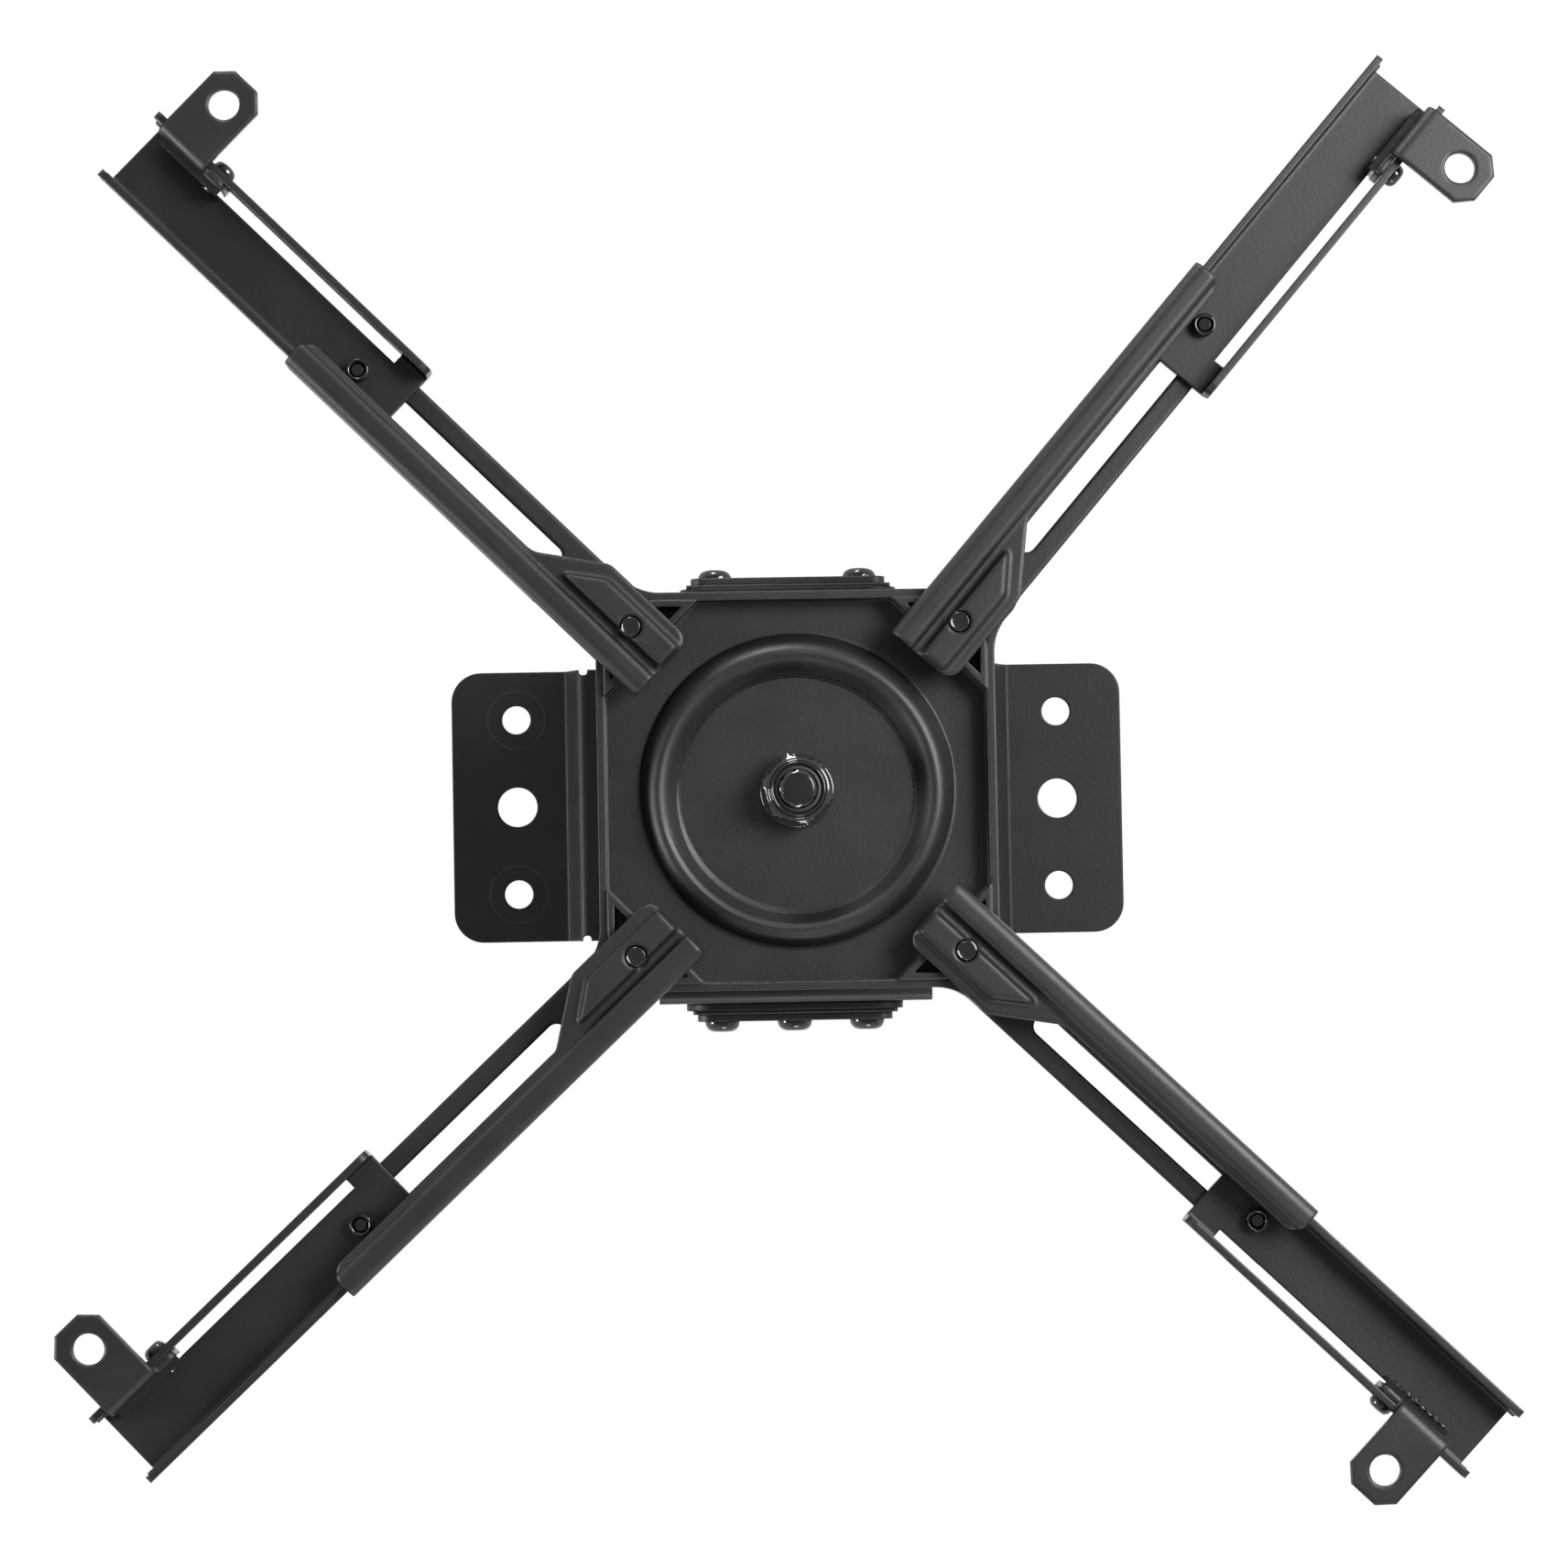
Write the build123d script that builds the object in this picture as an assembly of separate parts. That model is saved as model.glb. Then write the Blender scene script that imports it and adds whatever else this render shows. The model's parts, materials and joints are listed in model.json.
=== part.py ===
"""Projector ceiling mount with a tilting head and four telescopic arms.

Millimetres, +Z up. The origin is the centre of the face that lies against the ceiling, and the
mount hangs below it. The head is drawn level and then tilted about the pitch axis.
"""
from build123d import *
from math import atan2, cos, hypot, pi, tan
import os

# Sheet and clearances
SHEET = 2.0
BEND = 1.0
SLIP = 0.1
THREAD_GAP = 0.05
RUNNING = 0.1

# Pose in which the mount is drawn
HEAD_PITCH = 1.0
ARM_ANGLES = {"1": 43.6, "2": 136.8, "3": -135.4, "4": -49.5}
ARM_EXTENSION = {"1": 5.4, "2": 1.1, "3": 0.6, "4": 4.7}
LUG_OFFSET = {"1": -9.8, "2": -5.1, "3": -4.1, "4": -2.8}
PIN_SIDES = {"1": (1, 1), "2": (-1, 1), "3": (-1, -1), "4": (1, -1)}
PITCH_RANGE = 15.0
ROLL_RANGE = 10.0

# Ceiling plate
EAR_SPAN = 192.0
EAR_WIDTH = 77.3
EAR_CORNER = 8.5
EAR_HOLE_SPAN = 155.0
EAR_HOLE_PITCH = 25.0
SMALL_HOLE = 8.1
LARGE_HOLE = 11.3
STEP_OUTER = 124.0
STEP_RUN = 4.0
STEP_DROP = 8.0
NOTCH_WIDTH = 2.4
NOTCH_DEPTH = 1.5
HANGER_WIDTH = 60.0
HANGER_FACE = 58.4
HANGER_BELOW_AXIS = 12.0
HANGER_CORNER = 8.0

# Roll and pitch joints
ROLL_DEPTH = 34.0
ROLL_TO_FRAME = 14.0
FRAME_TO_PITCH = 18.0
LOCK_RADIUS = 20.15
CLAMP_LENGTH = 54.0
CLAMP_HEIGHT = 18.0
CLAMP_CORNER = 4.0
SHIM_LENGTH = 56.5
SHIM_HEIGHT = 20.0
SHIM_THICK = 1.0

# Gimbal frame
FRAME_EAR_WIDTH = 75.0
FRAME_EAR_RISE = 14.0
FRAME_CHEEK_FACE = 49.0
FRAME_CHEEK_WIDTH = 54.0
FRAME_CHEEK_DROP = 8.5
FRAME_HOLE = 46.0
FRAME_CORNER = 8.0

# Swivel yoke
YOKE_CHEEK_WIDTH = 52.0
YOKE_CHEEK_RISE = 10.0
YOKE_CORNER = 9.0
PITCH_TO_YOKE = 20.0
YOKE_REACH = 54.0

# Centre bolt
BOLT_DIA = 10.0
BOLT_FLATS = 17.0
BOLT_HEAD = 6.4
SLEEVE_WASHER = 3.0
SLEEVE_WASHER_DIA = 34.0
WASHER_DIA = 19.7
WASHER_THICK = 2.0
LOCK_NUT_HEX = 6.6
LOCK_NUT_COLLAR = 3.2
LOCK_NUT_COLLAR_DIA = 15.2
COLLAR_EDGE = 1.2
BOLT_PROUD = 1.6
BOLT_TIP = 1.0

# Spider plate
PLATE_SIDE = 105.0
PLATE_CORNER_BLEND = 14.0
RIM_THICK = 2.2
RIM_HEIGHT = 8.5
PIN_SQUARE = 86.2
TAB_WIDTH = 16.0
TAB_REACH = 17.5
TAB_CORNER = 5.6
BEAD_OUTER = 42.0
BEAD_INNER = 31.3
BEAD_RISE = 5.0
BEAD_WALL = 1.2
GUSSET_LEG = 24.8
GUSSET_WALL = 1.7

# Inner arm, measured outwards from its pivot pin, with V across the arm
ARM_BACK_END = -13.3
ARM_LENGTH = 113.7
ARM_INSIDE = 10.0
ARM_WALL_V = -12.2
ARM_WALL_START = 24.0
LIP_V = -3.3
RIDGE_V = -5.5
RIDGE_RISE = 2.5
RIDGE_SLOPE = 0.6
RIDGE_WALL = 1.9
RIDGE_ROUND = 1.5
LIP_CORNER = 4.0
PRESS_TAPER = 25.0
WING_V = 8.4
WING_END = 15.4
WING_ROOT = 32.5
WING_RUN = 12.0
WING_CORNER = 4.0
WING_SHOULDER = 5.0
WING_FOOT = 6.0
BAR_V = 8.2
ARM_SLOT = 5.7
ARM_SLOT_START = 26.5
ARM_SLOT_END = 109.6
BOSS_LOW_V = -2.9
BOSS_HIGH_V = 5.5
BOSS_SHOULDER = 13.3
BOSS_TIP = 25.0
BOSS_WALL = 1.4
BOSS_CORNER = 3.0

# Outer arm
SLIDER_START = 84.8
SLIDER_END = 184.0
SLIDER_WEB_SHORT = 2.0
SLIDER_WALL = 9.7
SLIDER_LEFT_V = -10.1
SLIDER_RIGHT_V = 13.2
SLIDER_SCREW_U = 99.3
SLIDER_CORNER = 3.0
SLIDER_TIP = 1.5
TIP_ROOT = 0.5
WINDOW_WIDTH = 3.0
WINDOW_START = 94.0
WINDOW_END = 173.0

# Lug bracket
LUG_START = 168.0
LUG_WIDTH = 16.0
LUG_TIP_V = 34.4
LUG_CHAMFER = 4.0
LUG_HOLE = 8.2
LUG_HOLE_FROM_TIP = 8.5
LUG_LEG_LEAD = 6.5
LUG_LEG_LENGTH = 11.0
LUG_LEG_CORNER = 2.0
LUG_CLEAR = 1.3
NUT_PLATE_LENGTH = 21.0
NUT_PLATE_DROP = 9.0
LUG_SCREW_U = 165.0
LUG_TRAVEL = 64.0

# Fasteners: shank diameter, head diameter, head height, nut across flats, nut height
M5 = {"dia": 5.0, "head": 9.5, "rise": 2.7, "flats": 8.0, "nut": 4.0, "key": 3.0}
M4 = {"dia": 4.0, "head": 7.6, "rise": 2.2, "flats": 7.0, "nut": 3.2, "key": 2.5}
HEAD_EDGE = 0.25
HEAD_TOP = 0.62
COLLAR_DIA = 6.0
COLLAR_HEIGHT = 3.2
SCREW_SUNK = 0.5
PIN_DIA = 5.7
PIN_HEAD_DIA = 10.0
PIN_HEAD = 2.0
PIN_PROUD = 0.4
KEY_DEPTH = 1.5
SCREW_PROUD = 1.0
RIVET_HEAD_DIA = 12.0

# Heights and faces that follow from the sizes above
MIDDLE_TOP = -STEP_DROP
MIDDLE_BOTTOM = MIDDLE_TOP - SHEET
ROLL_Z = -ROLL_DEPTH
FRAME_TOP = ROLL_Z - ROLL_TO_FRAME
FRAME_BOTTOM = FRAME_TOP - SHEET
PITCH_Z = FRAME_BOTTOM - FRAME_TO_PITCH
YOKE_BOTTOM = PITCH_Z - PITCH_TO_YOKE
YOKE_TOP = YOKE_BOTTOM + SHEET
PLATE_BACK = YOKE_BOTTOM - SLEEVE_WASHER
PLATE_FRONT = PLATE_BACK - SHEET
FRAME_EAR_FACE = HANGER_FACE - SHEET - SLIP
YOKE_CHEEK_FACE = FRAME_CHEEK_FACE - SHEET - SLIP
PIN_REACH = PIN_SQUARE / 2

# The same for an arm, where height 0 is the back face of the spider plate
ARM_INNER_FACE = -ARM_INSIDE
ARM_OUTER_FACE = ARM_INNER_FACE - SHEET
RIDGE_INNER = ARM_INNER_FACE - RIDGE_RISE
RIDGE_TOP = ARM_OUTER_FACE - RIDGE_RISE
SLIDER_RIGHT_INNER_V = SLIDER_RIGHT_V - SHEET
LEG_OUTER_V = SLIDER_RIGHT_INNER_V - SLIP
LEG_INNER_V = LEG_OUTER_V - SHEET
LUG_INNER_FACE = -SLIDER_WALL - LUG_CLEAR
LUG_OUTER_FACE = LUG_INNER_FACE - SHEET
LUG_SCREW_Z = -(SLIDER_WALL + SHEET) / 2
LUG_MIDDLE = LUG_START + LUG_WIDTH / 2
LEG_START = LUG_START - LUG_LEG_LEAD
BOTH_SIDES = (0, 180)


def outline(*corners):
    """A flat face through corners (x, y), or (x, y, radius) where the corner is rounded."""
    face = Polygon(*[corner[:2] for corner in corners], align=None)
    for corner in corners:
        if len(corner) == 3:
            nearest = min(face.vertices(), key=lambda v: hypot(v.X - corner[0], v.Y - corner[1]))
            face = fillet(nearest, corner[2])
    return face


def along_x(face, start, end):
    """A face drawn in (y, z), pulled out along X."""
    return extrude(Plane.YZ.offset(start) * face, end - start, dir=(1, 0, 0))


def along_y(face, start, end):
    """A face drawn in (x, z), pulled out along Y."""
    return extrude(Plane.XZ.offset(-start) * face, end - start, dir=(0, 1, 0))


def along_z(face, start, end):
    """A face drawn in (x, y), pulled out along Z."""
    return extrude(Plane.XY.offset(start) * face, end - start, dir=(0, 0, 1))


def pressed(face, start, rise):
    """A face drawn in (x, y), pressed downwards with sloping sides."""
    return extrude(Plane.XY.offset(start) * face, rise, dir=(0, 0, -1), taper=PRESS_TAPER)


def turned(face):
    """A face drawn in (radius, z), turned about Z."""
    return revolve(Plane.XZ * face, Axis.Z, 360)


def aimed(shape, origin, direction):
    """A shape drawn about +Z, moved so that its +Z points along the direction."""
    return Plane(origin=origin, z_dir=direction).location * shape


def disc(diameter, start, end, x=0, y=0):
    """An upright round bar between two heights."""
    return along_z(Pos(x, y) * Circle(diameter / 2), start, end)


def button_screw(size, grip):
    """A button-head socket screw: the head stands on height 0 and the shank runs down."""
    radius = size["head"] / 2
    rise = size["rise"]
    head = turned(outline((0, 0), (radius, 0), (radius, rise * HEAD_EDGE),
                          (radius * HEAD_TOP, rise), (0, rise)))
    key = RegularPolygon(size["key"] / 2, 6, major_radius=False)
    socket = along_z(key, rise - KEY_DEPTH, rise + 1)
    return head + disc(size["dia"], -grip, 0) - socket


def hex_nut(size):
    """A hexagon nut that hangs below height 0."""
    body = along_z(RegularPolygon(size["flats"] / 2, 6, major_radius=False), -size["nut"], 0)
    return body - disc(size["dia"] + 2 * THREAD_GAP, -size["nut"] - 1, 1)


def arc_slot(width, radius, half_angle, middle):
    """A curved slot about the origin, cut for a screw that swings through the half angle."""
    arc = CenterArc((0, 0), radius, middle - half_angle, 2 * half_angle)
    return SlotArc(arc, width)


# Ceiling plate and the roll joint

def ceiling_plate():
    """One folded sheet: ears on the ceiling, a stepped-down middle and two hangers."""
    ear = EAR_SPAN / 2
    outer = STEP_OUTER / 2
    inner = outer - STEP_RUN
    shift = SHEET * tan(atan2(STEP_DROP, STEP_RUN) / 2)
    wide = SHEET + BEND
    section = outline(
        (-ear, 0), (-outer, 0, wide), (-inner, MIDDLE_TOP, BEND),
        (inner, MIDDLE_TOP, BEND), (outer, 0, wide), (ear, 0),
        (ear, -SHEET), (outer + shift, -SHEET, BEND), (inner + shift, MIDDLE_BOTTOM, wide),
        (-inner - shift, MIDDLE_BOTTOM, wide), (-outer - shift, -SHEET, BEND), (-ear, -SHEET))
    plate = along_y(section, -EAR_WIDTH / 2, EAR_WIDTH / 2)
    plate &= along_z(RectangleRounded(EAR_SPAN, EAR_WIDTH, EAR_CORNER), -ROLL_DEPTH, 1)
    hanger_half = HANGER_WIDTH / 2
    bottom = ROLL_Z - HANGER_BELOW_AXIS
    channel = outline(
        (-HANGER_FACE, bottom), (-HANGER_FACE, MIDDLE_TOP, wide), (HANGER_FACE, MIDDLE_TOP, wide),
        (HANGER_FACE, bottom), (HANGER_FACE - SHEET, bottom),
        (HANGER_FACE - SHEET, MIDDLE_BOTTOM, BEND), (SHEET - HANGER_FACE, MIDDLE_BOTTOM, BEND),
        (SHEET - HANGER_FACE, bottom))
    hangers = along_x(channel, -hanger_half, hanger_half)
    side_view = outline(
        (-hanger_half, 0), (hanger_half, 0), (hanger_half, bottom, HANGER_CORNER),
        (-hanger_half, bottom, HANGER_CORNER))
    plate += hangers & along_y(side_view, -HANGER_FACE, HANGER_FACE)
    for side in (-1, 1):
        x = side * EAR_HOLE_SPAN / 2
        plate -= disc(LARGE_HOLE, -SHEET - 1, 1, x)
        for end in (-1, 1):
            plate -= disc(SMALL_HOLE, -SHEET - 1, 1, x, end * EAR_HOLE_PITCH)
            notch = Pos(side * inner, end * EAR_WIDTH / 2) * Rectangle(NOTCH_WIDTH, 2 * NOTCH_DEPTH)
            plate -= along_z(fillet(notch.vertices(), BEND), MIDDLE_BOTTOM - 1, 1)
    for x in (-LOCK_RADIUS, 0, LOCK_RADIUS):
        plate -= along_y(Pos(x, ROLL_Z) * Circle(M5["dia"] / 2 + RUNNING), -HANGER_FACE - 1,
                         HANGER_FACE + 1)
    return plate


def slip_plate(length, height, thick, inner_face, corner):
    """A flat plate on the +Y hanger with the joint's three holes."""
    plate = Pos(0, ROLL_Z) * RectangleRounded(length, height, corner)
    for x in (-LOCK_RADIUS, 0, LOCK_RADIUS):
        plate -= Pos(x, ROLL_Z) * Circle(M5["dia"] / 2 + RUNNING)
    return along_y(plate, inner_face, inner_face + thick)


def roll_shim():
    """The thin shim between the hanger and the clamp plate."""
    return slip_plate(SHIM_LENGTH, SHIM_HEIGHT, SHIM_THICK, HANGER_FACE, BEND)


def clamp_plate():
    """The clamp plate that the roll screws press on the hanger."""
    return slip_plate(CLAMP_LENGTH, CLAMP_HEIGHT, SHEET, HANGER_FACE + SHIM_THICK, CLAMP_CORNER)


CLAMP_FACE = HANGER_FACE + SHIM_THICK + SHEET
ROLL_NUT_FACE = FRAME_EAR_FACE - SHEET
ROLL_GRIP = CLAMP_FACE - ROLL_NUT_FACE + M5["nut"] + SCREW_PROUD


def roll_screw(x, side):
    """A button screw through the whole stack at one side."""
    return aimed(button_screw(M5, ROLL_GRIP), (x, side * CLAMP_FACE, ROLL_Z), (0, side, 0))


def roll_nut(x, side):
    """The nut of a roll screw, against the frame ear's inner face."""
    return aimed(hex_nut(M5), (x, side * ROLL_NUT_FACE, ROLL_Z), (0, side, 0))


def roll_lock_screws():
    """The four screws that lock the roll."""
    places = [(x, side) for side in (-1, 1) for x in (-LOCK_RADIUS, LOCK_RADIUS)]
    return Compound(children=[roll_screw(x, side) for x, side in places])


def roll_lock_nuts():
    """Their four nuts."""
    places = [(x, side) for side in (-1, 1) for x in (-LOCK_RADIUS, LOCK_RADIUS)]
    return Compound(children=[roll_nut(x, side) for x, side in places])


def roll_pivot_rivet():
    """The flush rivet that carries the roll at the -Y side."""
    reach = ROLL_NUT_FACE - SHEET
    shank = along_y(Pos(0, ROLL_Z) * Circle(M5["dia"] / 2), -CLAMP_FACE, -ROLL_NUT_FACE)
    head = along_y(Pos(0, ROLL_Z) * Circle(RIVET_HEAD_DIA / 2), -ROLL_NUT_FACE, -reach)
    return shank + head


# Gimbal frame and the pitch joint

def frame_ear_view():
    """A frame ear seen along Y, with the arc slots and the pivot hole of the roll."""
    half = FRAME_EAR_WIDTH / 2
    top = ROLL_Z + FRAME_EAR_RISE
    ear = outline((-half, FRAME_BOTTOM), (half, FRAME_BOTTOM), (half, top, FRAME_CORNER),
                  (-half, top, FRAME_CORNER))
    ear -= Pos(0, ROLL_Z) * Circle(M5["dia"] / 2 + RUNNING)
    for middle in BOTH_SIDES:
        slot = arc_slot(M5["dia"] + 4 * RUNNING, LOCK_RADIUS, ROLL_RANGE, middle)
        ear -= Pos(0, ROLL_Z) * slot
    return ear


def frame_cheek_view():
    """A frame cheek seen along X, with the three holes of the pitch joint."""
    half = FRAME_CHEEK_WIDTH / 2
    bottom = PITCH_Z - FRAME_CHEEK_DROP
    cheek = outline((-half, FRAME_TOP), (half, FRAME_TOP), (half, bottom, FRAME_CORNER),
                    (-half, bottom, FRAME_CORNER))
    for y in (-LOCK_RADIUS, 0, LOCK_RADIUS):
        cheek -= Pos(y, PITCH_Z) * Circle(M5["dia"] / 2 + RUNNING)
    return cheek


def gimbal_frame():
    """One folded cross: ears up on the roll axis and cheeks down on the pitch axis."""
    wide = SHEET + BEND
    top = ROLL_Z + FRAME_EAR_RISE
    bottom = PITCH_Z - FRAME_CHEEK_DROP
    ear_channel = outline(
        (-FRAME_EAR_FACE, top), (-FRAME_EAR_FACE, FRAME_BOTTOM, wide),
        (FRAME_EAR_FACE, FRAME_BOTTOM, wide), (FRAME_EAR_FACE, top),
        (FRAME_EAR_FACE - SHEET, top), (FRAME_EAR_FACE - SHEET, FRAME_TOP, BEND),
        (SHEET - FRAME_EAR_FACE, FRAME_TOP, BEND), (SHEET - FRAME_EAR_FACE, top))
    ears = along_x(ear_channel, -FRAME_EAR_WIDTH / 2, FRAME_EAR_WIDTH / 2)
    ears &= along_y(frame_ear_view(), -FRAME_EAR_FACE, FRAME_EAR_FACE)
    cheek_channel = outline(
        (-FRAME_CHEEK_FACE, bottom), (-FRAME_CHEEK_FACE, FRAME_TOP, wide),
        (FRAME_CHEEK_FACE, FRAME_TOP, wide), (FRAME_CHEEK_FACE, bottom),
        (FRAME_CHEEK_FACE - SHEET, bottom), (FRAME_CHEEK_FACE - SHEET, FRAME_BOTTOM, BEND),
        (SHEET - FRAME_CHEEK_FACE, FRAME_BOTTOM, BEND), (SHEET - FRAME_CHEEK_FACE, bottom))
    cheeks = along_y(cheek_channel, -FRAME_CHEEK_WIDTH / 2, FRAME_CHEEK_WIDTH / 2)
    cheeks &= along_x(frame_cheek_view(), -FRAME_CHEEK_FACE, FRAME_CHEEK_FACE)
    return ears + cheeks - disc(FRAME_HOLE, FRAME_BOTTOM - 1, FRAME_TOP + 1)


PITCH_NUT_FACE = YOKE_CHEEK_FACE - SHEET
PITCH_GRIP = FRAME_CHEEK_FACE - PITCH_NUT_FACE + M5["nut"] + SCREW_PROUD


def pitch_screws(offsets):
    """Button screws through both cheeks at these offsets from the pitch axis."""
    one_side = [aimed(button_screw(M5, PITCH_GRIP), (FRAME_CHEEK_FACE, y, PITCH_Z), (1, 0, 0))
                for y in offsets]
    other = [mirror(screw, about=Plane.YZ) for screw in one_side]
    return Compound(children=one_side + other)


def pitch_nuts(offsets):
    """Their nuts, against the inner faces of the yoke cheeks."""
    one_side = [aimed(hex_nut(M5), (PITCH_NUT_FACE, y, PITCH_Z), (1, 0, 0)) for y in offsets]
    other = [mirror(nut, about=Plane.YZ) for nut in one_side]
    return Compound(children=one_side + other)


# Head

def swivel_yoke():
    """One folded U: cheeks up on the pitch axis and a web that the centre bolt hangs from."""
    wide = SHEET + BEND
    face = YOKE_CHEEK_FACE
    top = PITCH_Z + YOKE_CHEEK_RISE
    half = YOKE_CHEEK_WIDTH / 2
    channel = outline(
        (-face, top), (-face, YOKE_BOTTOM, wide), (face, YOKE_BOTTOM, wide), (face, top),
        (face - SHEET, top), (face - SHEET, YOKE_TOP, BEND), (SHEET - face, YOKE_TOP, BEND),
        (SHEET - face, top))
    yoke = along_y(channel, -half, half)
    cheek = outline((-half, YOKE_BOTTOM), (half, YOKE_BOTTOM), (half, top, YOKE_CORNER),
                    (-half, top, YOKE_CORNER))
    cheek -= Pos(0, PITCH_Z) * Circle(M5["dia"] / 2 + RUNNING)
    for middle in BOTH_SIDES:
        slot = arc_slot(M5["dia"] + 4 * RUNNING, LOCK_RADIUS, PITCH_RANGE, middle)
        cheek -= Pos(0, PITCH_Z) * slot
    yoke &= along_x(cheek, -face, face)
    yoke &= disc(2 * YOKE_REACH, YOKE_BOTTOM - 1, top + 1)
    return yoke - disc(BOLT_DIA + 2 * RUNNING, YOKE_BOTTOM - 1, YOKE_TOP + 1)


WASHER_FACE = PLATE_FRONT - WASHER_THICK
NUT_END = WASHER_FACE - LOCK_NUT_HEX - LOCK_NUT_COLLAR
BOLT_END = NUT_END - BOLT_PROUD


def centre_bolt():
    """The hexagon bolt that the spider plate turns on."""
    head = along_z(RegularPolygon(BOLT_FLATS / 2, 6, major_radius=False), YOKE_TOP,
                   YOKE_TOP + BOLT_HEAD)
    shank = disc(BOLT_DIA, BOLT_END, YOKE_TOP)
    return head + chamfer(shank.edges().sort_by(Axis.Z)[0], BOLT_TIP)


def sleeve_washer():
    """The wide washer between the yoke and the spider plate."""
    return disc(SLEEVE_WASHER_DIA, PLATE_BACK, YOKE_BOTTOM) - disc(
        BOLT_DIA + 2 * RUNNING, PLATE_BACK - 1, YOKE_BOTTOM + 1)


def centre_washer():
    """The steel washer under the lock nut."""
    return disc(WASHER_DIA, WASHER_FACE, PLATE_FRONT) - disc(
        BOLT_DIA + 2 * RUNNING, WASHER_FACE - 1, PLATE_FRONT + 1)


def centre_lock_nut():
    """The lock nut: a hexagon with a round collar at its outer end."""
    hexagon = along_z(RegularPolygon(BOLT_FLATS / 2, 6, major_radius=False),
                      WASHER_FACE - LOCK_NUT_HEX, WASHER_FACE)
    collar = disc(LOCK_NUT_COLLAR_DIA, NUT_END, WASHER_FACE - LOCK_NUT_HEX)
    collar = chamfer(collar.edges().sort_by(Axis.Z)[0], COLLAR_EDGE)
    return hexagon + collar - disc(BOLT_DIA + 2 * THREAD_GAP, NUT_END - 1, WASHER_FACE + 1)


def spider_outline(inset=0.0):
    """The square plate with a tab at each corner, its sides blending into the tabs."""
    side = PLATE_SIDE - 2 * inset
    width = TAB_WIDTH - 2 * inset
    reach = PIN_REACH * 2 ** 0.5 + TAB_REACH - inset
    face = Rectangle(side, side)
    for quarter in range(4):
        face += Rot(0, 0, 45 + 90 * quarter) * Pos(reach / 2, 0) * Rectangle(reach, width)
    tip_radius = hypot(reach, width / 2)
    tips = [v for v in face.vertices() if hypot(v.X, v.Y) > tip_radius - 1]
    face = fillet(tips, TAB_CORNER - inset)
    notch_radius = hypot(side / 2, side / 2 - width / 2 * 2 ** 0.5)
    notches = [v for v in face.vertices() if hypot(v.X, v.Y) < notch_radius + SLIP]
    return fillet(notches, PLATE_CORNER_BLEND + inset)


def gusset_frame():
    """A raised triangular rib in the +X +Y corner, against the rim."""
    edge = PLATE_SIDE / 2 - RIM_THICK
    low = edge - GUSSET_LEG
    inner_edge = edge - GUSSET_WALL
    inner_low = low + GUSSET_WALL * (1 + 2 ** 0.5)
    outer = outline((edge, edge), (low, edge), (edge, low))
    hole = outline((inner_edge, inner_edge), (inner_low, inner_edge), (inner_edge, inner_low))
    height = PLATE_BACK - ARM_INSIDE + SLIP
    return along_z(outer - hole, height, PLATE_FRONT)


def bead_line(inner, outer, base, steps):
    """Points across a rounded ridge, from its inner foot to its outer foot."""
    line = []
    for step in range(steps + 1):
        share = step / steps
        fall = BEAD_RISE * (1 - cos(2 * pi * share)) / 2
        line.append((inner + (outer - inner) * share, base - fall))
    return line


def pressed_bead():
    """The ring pressed out of the plate, and the hollow it leaves behind."""
    ridge = turned(outline(
        *bead_line(BEAD_INNER, BEAD_OUTER, PLATE_FRONT, 8),
        (BEAD_OUTER, PLATE_BACK), (BEAD_INNER, PLATE_BACK)))
    inner = BEAD_INNER + BEAD_WALL
    outer = BEAD_OUTER - BEAD_WALL
    hollow = turned(outline(
        *bead_line(inner, outer, PLATE_BACK, 4), (outer, PLATE_BACK + 1), (inner, PLATE_BACK + 1)))
    return ridge, hollow


def spider_plate():
    """The pressed pan that carries the four arms."""
    rim_end = PLATE_BACK - RIM_HEIGHT
    plate = along_z(spider_outline(), rim_end, PLATE_BACK)
    plate -= along_z(spider_outline(RIM_THICK), rim_end - 1, PLATE_FRONT)
    for quarter in range(4):
        plate += Rot(0, 0, 90 * quarter) * gusset_frame()
    ridge, hollow = pressed_bead()
    plate = plate + ridge - hollow
    for x_side, y_side in PIN_SIDES.values():
        plate -= disc(PIN_DIA + THREAD_GAP, rim_end, PLATE_BACK + 1, x_side * PIN_REACH,
                      y_side * PIN_REACH)
    return plate - disc(BOLT_DIA + 2 * RUNNING, rim_end, PLATE_BACK + 1)


# Arms, drawn along +X from the pivot pin, with the viewer's side facing down

def pivot_pin():
    """The headed pin that an arm turns on, peened at its lower end."""
    end = RIDGE_TOP - PIN_PROUD
    shank = disc(PIN_DIA, end, SHEET)
    shank = chamfer(shank.edges().sort_by(Axis.Z)[0], PIN_PROUD)
    head = disc(PIN_HEAD_DIA, SHEET, SHEET + PIN_HEAD)
    return shank + chamfer(head.edges().sort_by(Axis.Z)[-1], BEND)


def boss_outline():
    """The pointed boss pressed into the wide end of the inner arm."""
    return outline(
        (ARM_BACK_END, BOSS_LOW_V), (ARM_BACK_END, BOSS_HIGH_V),
        (BOSS_SHOULDER, BOSS_HIGH_V, BOSS_CORNER), (BOSS_TIP, BOSS_LOW_V, BEND))


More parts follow.
